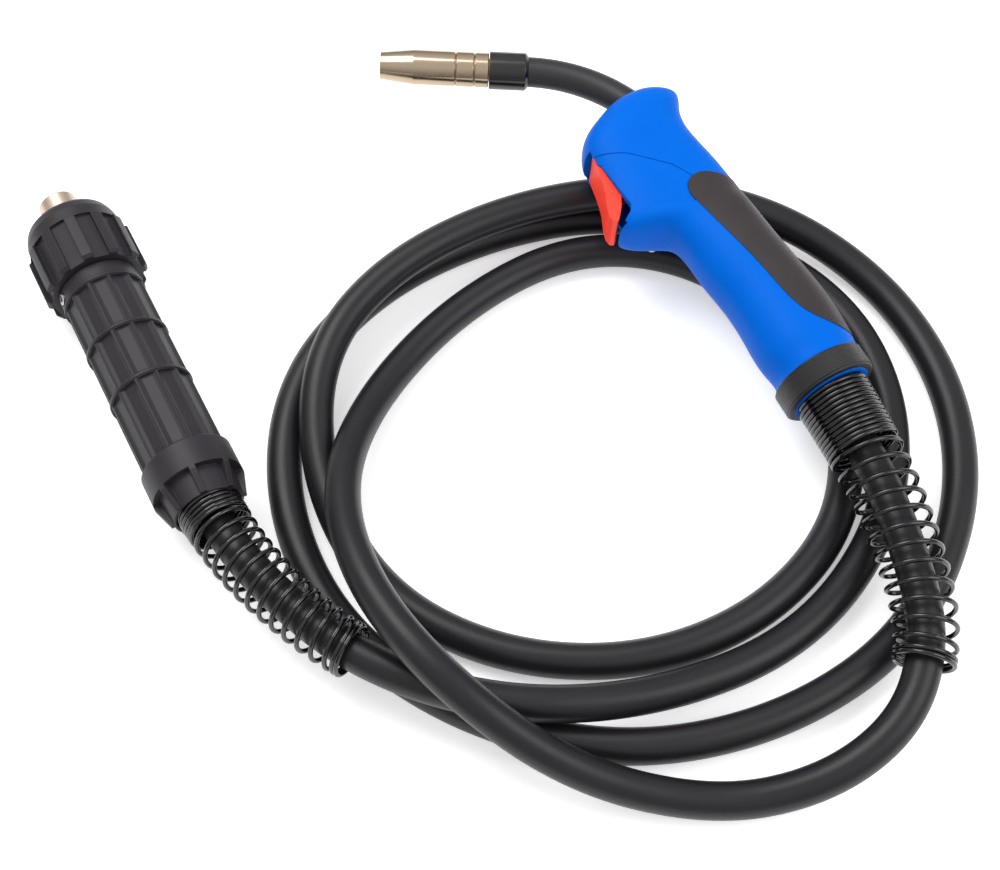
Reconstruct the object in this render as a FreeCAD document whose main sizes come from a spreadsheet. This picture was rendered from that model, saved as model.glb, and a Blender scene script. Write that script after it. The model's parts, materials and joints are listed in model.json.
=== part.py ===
import FreeCAD, Part
import math
import os

import Sketcher

# A MIG welding torch: swan neck and nozzle, pistol handle with trigger, three loose loops of cable
# and the central plug.  Millimetres, +Z up, the floor at z = 0.  The torch lies on its right side on
# the cable loops, and the plug lies on the floor on the rim of its nut.

VECTOR = FreeCAD.Vector

SIZES = {
    # where the three parts lie
    "layout_x": 4.306,
    "layout_y": 0.415,
    "layout_turn": -27.6,
    "torch_x": 150.6,
    "torch_y": 9.7,
    "torch_height": 43.0,
    "torch_yaw": 117.5,
    "torch_slope": 4.5,
    "plug_x": -135.0,
    "plug_y": -55.8,
    "plug_yaw": 117.6,
    # fits
    "running_gap": 0.3,
    "slide_gap": 0.06,
    # cable and its two kink springs
    "cable_diameter": 17.0,
    "core_diameter": 9.0,
    "spring_wire": 2.4,
    "torch_spring_start": 37.2,
    "torch_spring_end": 29.0,
    "torch_spring_length": 137.0,
    "plug_spring_start": 32.0,
    "plug_spring_end": 26.5,
    "plug_spring_length": 104.0,
    "cable_in_handle": 12.0,
    "cable_in_plug": 14.0,
    # neck
    "neck_start": 141.6,
    "neck_offset": -2.3,
    "neck_radius": 85.0,
    "neck_bend": 61.0,
    "neck_tube_diameter": 11.0,
    "neck_tube_bore": 6.5,
    "neck_tail": 26.0,
    "sleeve_diameter": 15.4,
    "sleeve_entry": 18.0,
    "union_length": 15.0,
    "union_diameter": 16.0,
    # nozzle end, along the nozzle's axis from the end of the neck
    "insulator_length": 20.0,
    "insulator_diameter": 19.4,
    "nozzle_length": 56.0,
    "nozzle_diameter": 18.0,
    "nozzle_mouth": 14.0,
    "nozzle_taper": 17.0,
    "nozzle_bore": 15.0,
    "nozzle_mouth_bore": 11.6,
    "nozzle_ring": 1.2,
    "diffuser_diameter": 11.8,
    "diffuser_length": 48.0,
    "tip_diameter": 6.0,
    "tip_length": 27.0,
    "wire_bore": 1.2,
    # handle
    "handle_length": 174.5,
    "shell_wall": 2.6,
    "collar_length": 12.5,
    "collar_diameter": 46.6,
    "lip_diameter": 39.4,
    "lip_bore": 34.0,
    "grip_half_width": 20.0,
    "head_half_width": 18.0,
    "insert_depth": 1.5,
    "screw_diameter": 3.0,
    # trigger and switch
    "trigger_width": 22.0,
    "pivot_x": 144.0,
    "pivot_y": 36.5,
    "pin_diameter": 3.0,
    "switch_x": 125.0,
    "switch_width": 6.4,
    "plunger_diameter": 3.0,
    # plug, along its axis from the rear face of its end cap
    "cap_length": 28.5,
    "cap_diameter": 45.0,
    "cap_ribs": 8,
    "housing_diameter": 41.0,
    "seat_diameter": 38.5,
    "housing_tail": 31.2,
    "housing_bore": 24.8,
    "band_start": 39.5,
    "band_length": 31.0,
    "ring_diameter": 42.0,
    "ring_width": 1.5,
    "flutes": 12,
    "nut_start": 142.0,
    "nut_length": 40.0,
    "nut_diameter": 53.0,
    "nut_rim": 44.6,
    "nut_bore": 40.6,
    "nut_grooves": 12,
    "groove_depth": 3.0,
    "groove_width": 8.2,
    "flange_length": 7.0,
    "flange_diameter": 39.2,
    "barrel_diameter": 19.8,
    "barrel_reach": 19.0,
    "insulator_disc": 11.7,
    "base_ring": 1.8,
    "contact_diameter": 4.0,
    "contact_length": 15.0,
    "contact_circle": 29.6,
    "contact_travel": 3.0,
    "small_screw": 6.0,
}


class Size:
    """A length that carries its value and the spreadsheet expression that gives it."""

    def __init__(self, value, text):
        self.value = value
        self.text = text

    def joined(self, other, sign, value, swapped=False):
        other_text = other.text if isinstance(other, Size) else repr(float(other))
        left, right = (other_text, self.text) if swapped else (self.text, other_text)
        return Size(value, "(%s %s %s)" % (left, sign, right))

    def __add__(self, other):
        return self.joined(other, "+", self.value + plain(other))

    def __radd__(self, other):
        return self.joined(other, "+", plain(other) + self.value, True)

    def __sub__(self, other):
        return self.joined(other, "-", self.value - plain(other))

    def __rsub__(self, other):
        return self.joined(other, "-", plain(other) - self.value, True)

    def __mul__(self, other):
        return self.joined(other, "*", self.value * plain(other))

    def __rmul__(self, other):
        return self.joined(other, "*", plain(other) * self.value, True)

    def __truediv__(self, other):
        return self.joined(other, "/", self.value / plain(other))

    def __neg__(self):
        return Size(-self.value, "(-1 * %s)" % self.text)


def plain(length):
    """The number of a Size or of a number."""
    return length.value if isinstance(length, Size) else float(length)


def text_of(length):
    """The expression of a Size or of a number."""
    return length.text if isinstance(length, Size) else repr(float(length))


doc = FreeCAD.newDocument("mig_torch")
sheet = doc.addObject("Spreadsheet::Sheet", "Sizes")
for row, (alias, number) in enumerate(SIZES.items(), start=1):
    sheet.set("A%d" % row, alias)
    sheet.set("B%d" % row, repr(number))
    sheet.setAlias("B%d" % row, alias)
doc.recompute()


def size(alias):
    """One named size of the spreadsheet."""
    return Size(float(sheet.get(alias)), "Sizes." + alias)


# ---------------------------------------------------------------- frames

# The coil's own frame is turned and shifted, so that the plug lies along +Y and the origin is under
# the middle of the torch and the plug.
LAYOUT = FreeCAD.Placement(
    VECTOR(plain(size("layout_x")), plain(size("layout_y")), 0),
    FreeCAD.Rotation(VECTOR(0, 0, 1), plain(size("layout_turn"))),
)


def turned_frame(x, y, z, yaw, slope=0.0):
    """A frame at a point of the coil, turned by yaw about Z and then tipped up by slope."""
    return LAYOUT.multiply(FreeCAD.Placement(VECTOR(x, y, z), FreeCAD.Rotation(yaw, -slope, 0.0)))


TORCH_FRAME = turned_frame(
    plain(size("torch_x")),
    plain(size("torch_y")),
    plain(size("torch_height")),
    plain(size("torch_yaw")),
    plain(size("torch_slope")),
)
PLUG_FRAME = turned_frame(
    plain(size("plug_x")),
    plain(size("plug_y")),
    plain(size("nut_diameter")) / 2,
    plain(size("plug_yaw")),
)
BEND = math.radians(plain(size("neck_bend")))
NOSE_IN_TORCH = FreeCAD.Placement(
    VECTOR(
        plain(size("neck_start")) + plain(size("neck_radius")) * math.sin(BEND),
        plain(size("neck_offset")) + plain(size("neck_radius")) * (1 - math.cos(BEND)),
        0,
    ),
    FreeCAD.Rotation(VECTOR(0, 0, 1), plain(size("neck_bend"))),
)
NOSE_FRAME = TORCH_FRAME.multiply(NOSE_IN_TORCH)

ORIGIN_ROLES = {"XY": "XY_Plane", "XZ": "XZ_Plane", "YZ": "YZ_Plane"}
sub_parts = []


def keep(piece, label, frame):
    """Name a finished piece, put it in its frame and list it for export."""
    piece.Label = label
    piece.Placement = frame
    sub_parts.append(piece)
    return piece


def new_body(label, frame):
    body = doc.addObject("PartDesign::Body", label)
    return keep(body, label, frame)


def origin_feature(body, role):
    for feature in body.Origin.OriginFeatures:
        if feature.Role == role:
            return feature
    raise ValueError("no origin feature " + role)


def attached_sketch(body, name, plane, offset=None):
    """A sketch on one of the body's own origin planes, moved along the plane's normal by offset."""
    sketch = body.newObject("Sketcher::SketchObject", name)
    sketch.AttachmentSupport = [(origin_feature(body, ORIGIN_ROLES[plane]), "")]
    sketch.MapMode = "FlatFace"
    if offset is not None:
        sketch.AttachmentOffset = FreeCAD.Placement(VECTOR(0, 0, plain(offset)), FreeCAD.Rotation())
        if isinstance(offset, Size):
            sketch.setExpression("AttachmentOffset.Base.z", offset.text)
    return sketch


def tie_point(sketch, geometry, end, along, length):
    """Hold one coordinate of a vertex at a length from the sketch's origin."""
    if plain(length) == 0:
        axis = -2 if along == "DistanceX" else -1
        sketch.addConstraint(Sketcher.Constraint("PointOnObject", geometry, end, axis))
        return
    index = sketch.addConstraint(Sketcher.Constraint(along, -1, 1, geometry, end, plain(length)))
    if isinstance(length, Size):
        sketch.setExpression("Constraints[%d]" % index, length.text)


def draw_outline(sketch, outline):
    """A closed outline of straight edges whose corners are all held by named sizes."""
    corners = [VECTOR(plain(x), plain(y), 0) for x, y in outline]
    count = len(corners)
    first = sketch.GeometryCount
    for index in range(count):
        sketch.addGeometry(Part.LineSegment(corners[index], corners[(index + 1) % count]), False)
    for index in range(count):
        following = first + (index + 1) % count
        sketch.addConstraint(Sketcher.Constraint("Coincident", first + index, 2, following, 1))
    for index, (x, y) in enumerate(outline):
        tie_point(sketch, first + index, 1, "DistanceX", x)
        tie_point(sketch, first + index, 1, "DistanceY", y)
    return sketch


def draw_circle(sketch, x, y, diameter):
    """A circle held by its centre and its diameter."""
    circle = Part.Circle(VECTOR(plain(x), plain(y), 0), VECTOR(0, 0, 1), plain(diameter) / 2)
    geometry = sketch.addGeometry(circle, False)
    tie_point(sketch, geometry, 3, "DistanceX", x)
    tie_point(sketch, geometry, 3, "DistanceY", y)
    index = sketch.addConstraint(Sketcher.Constraint("Diameter", geometry, plain(diameter)))
    if isinstance(diameter, Size):
        sketch.setExpression("Constraints[%d]" % index, diameter.text)
    return sketch


def turned(label, outline, frame):
    """A piece turned on a lathe: an outline of (x, radius) corners revolved about its own X axis."""
    body = new_body(label, frame)
    sketch = draw_outline(attached_sketch(body, label + "_outline", "XY"), outline)
    revolution = body.newObject("PartDesign::Revolution", label + "_turned")
    revolution.Profile = sketch
    revolution.ReferenceAxis = (sketch, ["H_Axis"])
    revolution.Angle = 360
    return body


def extruded(label, outline, width, frame):
    """A plate with an outline of (x, y) corners, as thick as width, middle on the XY plane."""
    body = new_body(label, frame)
    sketch = draw_outline(attached_sketch(body, label + "_outline", "XY"), outline)
    pad = body.newObject("PartDesign::Pad", label + "_pad")
    pad.Profile = sketch
    pad.Midplane = True
    pad.Length = plain(width)
    if isinstance(width, Size):
        pad.setExpression("Length", width.text)
    return body


def polar_pattern(body, label, feature, count):
    """Repeat a feature round the body's own X axis."""
    pattern = body.newObject("PartDesign::PolarPattern", label)
    pattern.Originals = [feature]
    pattern.Axis = (origin_feature(body, "X_Axis"), [""])
    pattern.Angle = 360
    pattern.Occurrences = int(round(plain(count)))
    pattern.setExpression("Occurrences", text_of(count))
    body.Tip = pattern
    return pattern


def axial_cuts(body, label, outline, start, length, count):
    """Cut an outline of (y, z) corners along X from start, and repeat the cut round the axis."""
    doc.recompute()
    sketch = draw_outline(attached_sketch(body, label + "_outline", "YZ", start), outline)
    pocket = body.newObject("PartDesign::Pocket", label + "_cut")
    pocket.Profile = sketch
    pocket.Reversed = True
    pocket.Length = plain(length)
    pocket.setExpression("Length", text_of(length))
    return polar_pattern(body, label + "_pattern", pocket, count)


def solid_feature(label, shape, frame):
    """A free-form piece, whose shape comes from Part's own functions."""
    feature = doc.addObject("Part::Feature", label)
    feature.Shape = shape
    return keep(feature, label, frame)


def box_between(low, high):
    """A box between two opposite corners."""
    span = high - low
    return Part.makeBox(span.x, span.y, span.z, low)


def prism(outline, low, high):
    """A prism on a closed outline of (x, y) corners, from z = low to z = high."""
    corners = [VECTOR(plain(x), plain(y), low) for x, y in outline]
    face = Part.Face(Part.makePolygon(corners + corners[:1]))
    return face.extrude(VECTOR(0, 0, high - low))


# ---------------------------------------------------------------- swept pieces

def rounded_route(points):
    """Straight runs joined by tangent arcs.  Returns the edges and the smallest arc radius."""
    edges = []
    radii = []
    start = points[0]
    for index in range(1, len(points) - 1):
        before = points[index] - points[index - 1]
        after = points[index + 1] - points[index]
        turn = before.getAngle(after)
        setback = 0.45 * min(before.Length, after.Length)
        radius = setback / math.tan(turn / 2)
        into = VECTOR(before).normalize()
        away = VECTOR(after).normalize()
        arc_start = points[index] - into * setback
        arc_end = points[index] + away * setback
        towards = VECTOR(away - into).normalize()
        middle = points[index] + towards * (radius / math.cos(turn / 2) - radius)
        edges.append(Part.LineSegment(start, arc_start).toShape())
        edges.append(Part.Arc(arc_start, middle, arc_end).toShape())
        radii.append(radius)
        start = arc_end
    edges.append(Part.LineSegment(start, points[-1]).toShape())
    return edges, radii


def ring_at(edge, at_end, radius, seam_turn=0):
    """A circle square to an edge at one of its ends, its seam turned round by seam_turn degrees."""
    parameter = edge.LastParameter if at_end else edge.FirstParameter
    centre = edge.valueAt(parameter)
    ring = Part.Circle(centre, edge.tangentAt(parameter), radius).toShape()
    ring.rotate(centre, edge.tangentAt(parameter), seam_turn)
    return Part.Wire([ring])


def rod_along(edges, start_radius, end_radius=None, seam_turn=0):
    """A solid rod along edges, tapering where it has two radii."""
    profiles = [ring_at(edges[0], False, start_radius, seam_turn)]
    if end_radius is not None:
        profiles.append(ring_at(edges[-1], True, end_radius))
    return Part.Wire(edges).makePipeShell(profiles, True, False)


def part_of_route(edges, first, last):
    """The stretch of a route between two lengths along it."""
    chosen = []
    travelled = 0.0
    for edge in edges:
        low = max(first - travelled, 0.0)
        high = min(last - travelled, edge.Length)
        if low < edge.Length and high > 0.0:
            begin = edge.getParameterByLength(low)
            finish = edge.getParameterByLength(high)
            chosen.append(edge.Curve.toShape(begin, finish))
        travelled += edge.Length
    return chosen


def wire_coil(radius, wire, pitch, height):
    """A round-wire compression spring standing on z = 0."""
    helix = Part.makeHelix(pitch, height, radius)
    section = Part.Circle(VECTOR(radius, 0, 0), VECTOR(0, 1, 0), wire / 2)
    return Part.Wire(helix).makePipeShell([Part.Wire([section.toShape()])], True, True)


# ---------------------------------------------------------------- cable and kink springs

CABLE_RADIUS = plain(size("cable_diameter")) / 2


def on_torch_axis(x):
    return TORCH_FRAME.multVec(VECTOR(x, 0, 0))


def on_plug_axis(x):
    return PLUG_FRAME.multVec(VECTOR(x, 0, 0))


# Centre line of the cable on its way round the coil, from the handle to the plug.
COIL_POINTS = [
    (186, -82, 36), (191, -124, 32), (177, -160, 24), (141, -184, 14), (92, -192, 9), (31, -181, 20),
    (-24, -151, 51), (-62, -101, 46), (-77, -42, 30), (-61, 18, 13), (-19, 73, 8.6), (36, 107, 8.6),
    (92, 104, 8.6), (140, 70, 8.6), (170, 14, 8.6), (165, -50, 8.6), (125, -99, 8.6), (66, -125, 8.6),
    (0, -122, 8.6), (-56, -91, 8.6), (-88, -33, 12), (-90, 32, 25), (-56, 83, 26.8), (3, 119, 26.8),
    (72, 133, 26.8), (141, 124, 19), (197, 84, 8.6), (224, 22, 8.6), (222, -45, 8.6), (189, -111, 8.6),
    (128, -153, 8.6), (56, -168, 8.6), (-14, -152, 8.6), (-74, -110, 8.6), (-105, -45, 8.6),
    (-104, 25, 8.6), (-67, 80, 8.6), (-6, 117, 8.6), (63, 131, 8.6), (128, 110, 8.6), (177, 69, 8.6),
    (195, 8, 8.6), (182, -58, 8.6), (138, -114, 8.6), (70, -145, 16), (0, -153, 27.5), (-62, -133, 29),
    (-108, -94, 29.5),
]
route_points = [on_torch_axis(plain(size("cable_in_handle"))), on_torch_axis(-42)]
route_points += [LAYOUT.multVec(VECTOR(x, y, z)) for x, y, z in COIL_POINTS]
route_points += [on_plug_axis(-6.5), on_plug_axis(plain(size("cable_in_plug")))]
route_edges, route_radii = rounded_route(route_points)
route_length = sum(edge.Length for edge in route_edges)
cable_solid = rod_along(route_edges, CABLE_RADIUS)
cable = solid_feature("welding_cable", cable_solid, FreeCAD.Placement())
print("cable length %.0f, smallest radius %.0f, volume ratio %.4f" % (
    route_length, min(route_radii), cable_solid.Volume / (math.pi * CABLE_RADIUS ** 2 * route_length)))
print("arc radii", [round(radius) for radius in route_radii])

# Each kink spring is a close coil that grips the cable's end and opens out along it.  It is held
# here as the tapered sleeve that the coil fills.
WIRE = plain(size("spring_wire"))


def kink_spring(label, first, last, first_diameter, last_diameter):
    """A tapered sleeve round the cable between two lengths along its route."""
    stretch = part_of_route(route_edges, first, last)
    outer = rod_along(stretch, first_diameter / 2, last_diameter / 2)
    inner = rod_along(stretch, first_diameter / 2 - WIRE, last_diameter / 2 - WIRE)
    return solid_feature(label, outer.cut(inner), FreeCAD.Placement())


TORCH_SPRING_FIRST = plain(size("cable_in_handle")) + 14
kink_spring("torch_spring", TORCH_SPRING_FIRST, TORCH_SPRING_FIRST + plain(size("torch_spring_length")),
            plain(size("torch_spring_start")), plain(size("torch_spring_end")))
PLUG_SPRING_LAST = route_length - plain(size("cable_in_plug")) + 3
kink_spring("plug_spring", PLUG_SPRING_LAST - plain(size("plug_spring_length")), PLUG_SPRING_LAST,
            plain(size("plug_spring_end")), plain(size("plug_spring_start")))

# ---------------------------------------------------------------- neck

NECK_X = plain(size("neck_start"))
NECK_Y = plain(size("neck_offset"))
NECK_RADIUS = plain(size("neck_radius"))
TUBE_RADIUS = plain(size("neck_tube_diameter")) / 2
SLEEVE_RADIUS = plain(size("sleeve_diameter")) / 2
TUBE_NOSE = 14.0


def on_bend(angle):
    """A point of the neck's bent centre line."""
    return VECTOR(NECK_X + NECK_RADIUS * math.sin(angle), NECK_Y + NECK_RADIUS * (1 - math.cos(angle)), 0)


def bend_arc(first, last):
    return Part.Arc(on_bend(first), on_bend((first + last) / 2), on_bend(last)).toShape()


neck_end = on_bend(BEND)
neck_tail = VECTOR(NECK_X - plain(size("neck_tail")), NECK_Y, 0)
neck_nose = neck_end + VECTOR(math.cos(BEND), math.sin(BEND), 0) * TUBE_NOSE
neck_edges = [
    Part.LineSegment(neck_tail, on_bend(0)).toShape(),
    bend_arc(0, BEND),
    Part.LineSegment(neck_end, neck_nose).toShape(),
]
neck_outside = rod_along(neck_edges, TUBE_RADIUS)
neck_inside = rod_along(neck_edges, plain(size("neck_tube_bore")) / 2)
solid_feature("neck_tube", neck_outside.cut(neck_inside), TORCH_FRAME)

sleeve_arc = [bend_arc(math.radians(plain(size("sleeve_entry"))), BEND)]
sleeve_outside = rod_along(sleeve_arc, SLEEVE_RADIUS)
sleeve_inside = rod_along(sleeve_arc, TUBE_RADIUS)
sleeve_passage = rod_along(sleeve_arc, SLEEVE_RADIUS, seam_turn=50)
solid_feature("neck_sleeve", sleeve_outside.cut(sleeve_inside), TORCH_FRAME)

union_frame = TORCH_FRAME.multiply(FreeCAD.Placement(neck_tail, FreeCAD.Rotation()))
union_rear = -3.0
turned("neck_union", [
    (union_rear, 0), (union_rear, size("union_diameter") / 2),
    (size("union_length"), size("union_diameter") / 2), (size("union_length"), size("neck_tube_diameter") / 2),
    (0, size("neck_tube_diameter") / 2), (0, 0),
], union_frame)

# ---------------------------------------------------------------- nozzle end

nozzle_start = size("insulator_length") + size("running_gap")
nozzle_front = size("insulator_length") + size("nozzle_length")
taper_start = nozzle_front - size("nozzle_taper")
nozzle_radius = size("nozzle_diameter") / 2
nozzle = turned("gas_nozzle", [
    (nozzle_start, size("nozzle_bore") / 2), (nozzle_start, nozzle_radius - 0.4),
    (nozzle_start + 0.4, nozzle_radius), (nozzle_start + 6.8, nozzle_radius), (nozzle_start + 7.4, nozzle_radius - 0.6),
    (nozzle_start + 8, nozzle_radius), (nozzle_start + 16.4, nozzle_radius),
    (nozzle_start + 17, nozzle_radius - 0.6), (nozzle_start + 17.6, nozzle_radius),
    (taper_start, nozzle_radius), (nozzle_front, size("nozzle_mouth") / 2),
    (nozzle_front, size("nozzle_mouth_bore") / 2), (taper_start, size("nozzle_bore") / 2),
], NOSE_FRAME)

diffuser_start = 6.0
diffuser_radius = size("diffuser_diameter") / 2
diffuser_front = diffuser_start + size("diffuser_length")
turned("insulator_ring", [
    (0, size("neck_tube_diameter") / 2), (0, size("insulator_diameter") / 2 - 1.5),
    (1.5, size("insulator_diameter") / 2), (size("insulator_length"), size("insulator_diameter") / 2),
    (size("insulator_length"), diffuser_radius), (diffuser_start, diffuser_radius),
    (diffuser_start, size("neck_tube_diameter") / 2),
], NOSE_FRAME)
tip_seat = diffuser_front - 8
diffuser = turned("gas_diffuser", [
    (diffuser_start, size("neck_tube_diameter") / 2), (diffuser_start, diffuser_radius),
    (diffuser_front - 1, diffuser_radius), (diffuser_front, diffuser_radius - 1),
    (diffuser_front, size("tip_diameter") / 2), (tip_seat, size("tip_diameter") / 2),
    (tip_seat, 1.5), (TUBE_NOSE, 1.5), (TUBE_NOSE, size("neck_tube_diameter") / 2),
], NOSE_FRAME)
doc.recompute()
gas_sketch = attached_sketch(diffuser, "gas_holes_outline", "XY")
draw_circle(gas_sketch, diffuser_front - 14, 0, 2)
gas_hole = diffuser.newObject("PartDesign::Pocket", "gas_hole")
gas_hole.Profile = gas_sketch
gas_hole.Type = 1
gas_hole.Midplane = True
polar_pattern(diffuser, "gas_holes", gas_hole, Size(4.0, "4"))

tip_front = tip_seat + size("tip_length")
turned("contact_tip", [
    (tip_seat, size("wire_bore") / 2), (tip_seat, size("tip_diameter") / 2),
    (tip_front - 2, size("tip_diameter") / 2), (tip_front, size("tip_diameter") / 2 - 1),
    (tip_front, size("wire_bore") / 2),
], NOSE_FRAME)

ring_place = FreeCAD.Placement(VECTOR(30, 0, 0), FreeCAD.Rotation(VECTOR(0, 1, 0), 90))
nozzle_ring = doc.addObject("Part::Torus", "nozzle_ring")
nozzle_ring.setExpression("Radius1", ((size("diffuser_diameter") + size("nozzle_ring")) / 2).text)
nozzle_ring.setExpression("Radius2", (size("nozzle_ring") / 2).text)
nozzle_ring.Angle3 = 335
keep(nozzle_ring, "nozzle_ring", NOSE_FRAME.multiply(ring_place))

# ---------------------------------------------------------------- handle

HANDLE_LENGTH = plain(size("handle_length"))
GRIP_HALF = plain(size("grip_half_width"))
HEAD_HALF = plain(size("head_half_width"))
WALL = plain(size("shell_wall"))
# Sections of the handle: share of its length, the back and finger sides, half width and roundness.
SECTIONS = [
    (0.000, -22.2, 22.2, GRIP_HALF + 1.8, 2.0), (0.066, -23.8, 21.6, GRIP_HALF + 1.0, 2.1),
    (0.190, -24.2, 21.3, GRIP_HALF + 0.4, 2.2), (0.300, -22.4, 21.5, GRIP_HALF, 2.2),
    (0.400, -20.4, 23.4, GRIP_HALF, 2.2), (0.490, -18.7, 24.0, GRIP_HALF - 0.8, 2.4),
    (0.545, -17.8, 28.0, HEAD_HALF + 0.8, 2.5), (0.578, -17.4, 39.5, HEAD_HALF + 0.4, 2.6),
    (0.610, -17.0, 48.4, HEAD_HALF, 2.8), (0.650, -16.4, 49.4, HEAD_HALF, 2.9),
    (0.710, -15.2, 47.8, HEAD_HALF, 2.9), (0.780, -13.0, 45.8, HEAD_HALF, 3.0),
    (0.845, -12.2, 44.4, HEAD_HALF, 3.0), (0.895, -14.2, 42.2, HEAD_HALF, 2.9),
    (0.938, -18.0, 36.8, HEAD_HALF - 0.6, 2.6), (0.973, -17.0, 27.4, HEAD_HALF - 2.6, 2.4),
    (1.000, -9.4, 12.6, HEAD_HALF - 8.0, 2.1),
]


def section_wire(x, low, high, half_width, roundness, below):
    """The left half of a section of the handle, square to its length, closed at z = -below."""
    centre = (low + high) / 2
    half_height = (high - low) / 2
    points = []
    for step in range(19):
        angle = math.radians(10 * step)
        across = math.cos(angle)
        up = max(math.sin(angle), 0.0)
        y = centre + half_height * math.copysign(abs(across) ** (2 / roundness), across)
        z = half_width * up ** (2 / roundness)
        points.append(VECTOR(x, y, z))
    curve = Part.BSplineCurve()
    curve.interpolate(points)
    corners = [points[-1], VECTOR(x, low, -below), VECTOR(x, high, -below), points[0]]
    if below == 0:
        corners = [points[-1], points[0]]
    return Part.Wire([curve.toShape()] + Part.makePolygon(corners).Edges)


def handle_form(inset, below=1.0, last=len(SECTIONS)):
    """The left half of the handle's outside form, drawn in by inset, with its flat side at -below."""
    wires = []
    for share, low, high, half_width, roundness in SECTIONS[:last]:
        x = share * HANDLE_LENGTH
        wires.append(section_wire(x, low + inset, high - inset, half_width - inset, roundness, below))
    return Part.makeLoft(wires, True, False)


handle_outside = handle_form(0, 0.0)
handle_inside = handle_form(WALL, 1.0, len(SECTIONS) - 1)
cavity = handle_inside.common(box_between(VECTOR(WALL, -60, -40), VECTOR(HANDLE_LENGTH, 60, 40)))

AXIAL = VECTOR(1, 0, 0)
COLLAR = plain(size("collar_length"))
lip_outside = Part.makeCylinder(plain(size("lip_diameter")) / 2, COLLAR + 4.5, VECTOR(-COLLAR - 0.5, 0, 0), AXIAL)
lip_inside = Part.makeCylinder(plain(size("lip_bore")) / 2, COLLAR + 8, VECTOR(-COLLAR - 1, 0, 0), AXIAL)

PIVOT_X = plain(size("pivot_x"))
PIVOT_Y = plain(size("pivot_y"))
TRIGGER_HALF = plain(size("trigger_width")) / 2
pin_length = size("trigger_width") + 4.4
PIN_LENGTH = plain(pin_length)
GAP = plain(size("running_gap"))
window_outline = [(146, 70), (143.6, 42.2), (141.5, 40.8), (114, 39.4), (111, 41), (106.8, 48.4), (106, 70)]
trigger_window = prism(window_outline, -40, 40)
pocket_outline = [(151.9, 70), (151.9, 33.2), (149.8, 30.9), (121, 30.9), (107.2, 41), (107.2, 70)]
trigger_pocket = prism(pocket_outline, -TRIGGER_HALF - GAP, TRIGGER_HALF + GAP)

# Bosses for the screws, on the finger side of the handle.
SCREW = plain(size("screw_diameter"))
SCREW_PLACES = [(20, 14.5), (76, 15.5), (103, 30), (161, 24)]
SWITCH_X = plain(size("switch_x"))
SWITCH_HALF = plain(size("switch_width")) / 2
SWITCH_LOW = 20.5
SWITCH_TOP = 30.5

INSERT_EDGE = [
    (106, -30), (106.6, -17), (112, -6), (114.2, 2), (111.6, 8.6), (105, 11.4), (97, 10.4), (77, 6.6),
    (48, 1.6), (30, -1), (22, -3.8), (14, -10), (8, -17), (4, -24), (2, -30),
]


def pad_zone(points, back, low, high):
    """A prism with one smooth edge through points, closed by straight sides at y = back."""
    corners = [VECTOR(x, y, low) for x, y in points]
    curve = Part.BSplineCurve()
    curve.interpolate(corners)
    first_back = VECTOR(corners[0].x, back, low)
    last_back = VECTOR(corners[-1].x, back, low)
    sides = Part.makePolygon([corners[-1], last_back, first_back, corners[0]])
    face = Part.Face(Part.Wire([curve.toShape()] + sides.Edges))
    return face.extrude(VECTOR(0, 0, high - low))


insert_zone = pad_zone(INSERT_EDGE, -60, 3, 40)
flat_zone = prism([(150, 60), (149, 44), (140, 28), (124, 11), (112, 4), (104, 6), (99.5, 12), (108, 28),
                   (107, 46), (106, 60)], 3, 40)
flat_floor = handle_form(0.4)
insert_floor = handle_form(plain(size("insert_depth")))
insert_top = handle_form(-0.3)


def on_side(zone, side):
    """A zone of the left half, or its mirror image for the right half."""
    return zone if side > 0 else zone.mirror(VECTOR(0, 0, 0), VECTOR(0, 0, 1))


def half_shell(side):
    """One half of the handle: side is +1 for the left half and -1 for the right."""
    low, high = (0, 60) if side > 0 else (-60, 0)
    half = box_between(VECTOR(-60, -80, low), VECTOR(260, 80, high))
    outside = on_side(handle_outside, side)
    shell = outside.fuse(lip_outside.common(half)).cut(on_side(cavity, side))
    bosses = []
    for x, y in SCREW_PLACES:
        boss = Part.makeCylinder(SCREW / 2 + 2, 80, VECTOR(x, y, -40))
        bosses.append(boss.common(outside))
    cradle_low = VECTOR(SWITCH_X - 9, SWITCH_LOW, SWITCH_HALF if side > 0 else -40)
    cradle_high = VECTOR(SWITCH_X + 9, SWITCH_TOP, 40 if side > 0 else -SWITCH_HALF)
    cradle = box_between(cradle_low, cradle_high).common(outside)
    cheek = box_between(VECTOR(106.5, 31.5, -40), VECTOR(153.5, 60, 40)).common(outside)
    shell = shell.fuse(bosses + [cradle, cheek])
    shell = shell.cut([lip_inside, trigger_window, trigger_pocket, sleeve_passage])
    shell = shell.cut(on_side(flat_zone, side).cut(on_side(flat_floor, side)))
    shell = shell.cut(on_side(insert_zone, side).cut(on_side(insert_floor, side)))
    pin_low = VECTOR(PIVOT_X, PIVOT_Y, -PIN_LENGTH / 2)
    pin_hole = Part.makeCylinder(plain(size("pin_diameter")) / 2, PIN_LENGTH, pin_low)
    return shell.cut([pin_hole] + [screw.Shape for screw in screw_solids])


def grip_insert(side):
    """The soft pad that fills the recess in one half of the handle."""
    return on_side(insert_zone.common(insert_top).cut(insert_floor), side)


class Screw:
    """One shell screw with its head sunk in the right-hand half."""

    def __init__(self, x, y):
        head_top = -HEAD_HALF + 4.5
        shank = Part.makeCylinder(SCREW / 2, 16, VECTOR(x, y, head_top))
        head = Part.makeCylinder(SCREW / 2 + 1.2, 2.4, VECTOR(x, y, head_top - 2.4))
        self.Shape = shank.fuse(head).removeSplitter()
        self.access = Part.makeCylinder(SCREW / 2 + 1.2, 20, VECTOR(x, y, head_top - 22.4))


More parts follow.
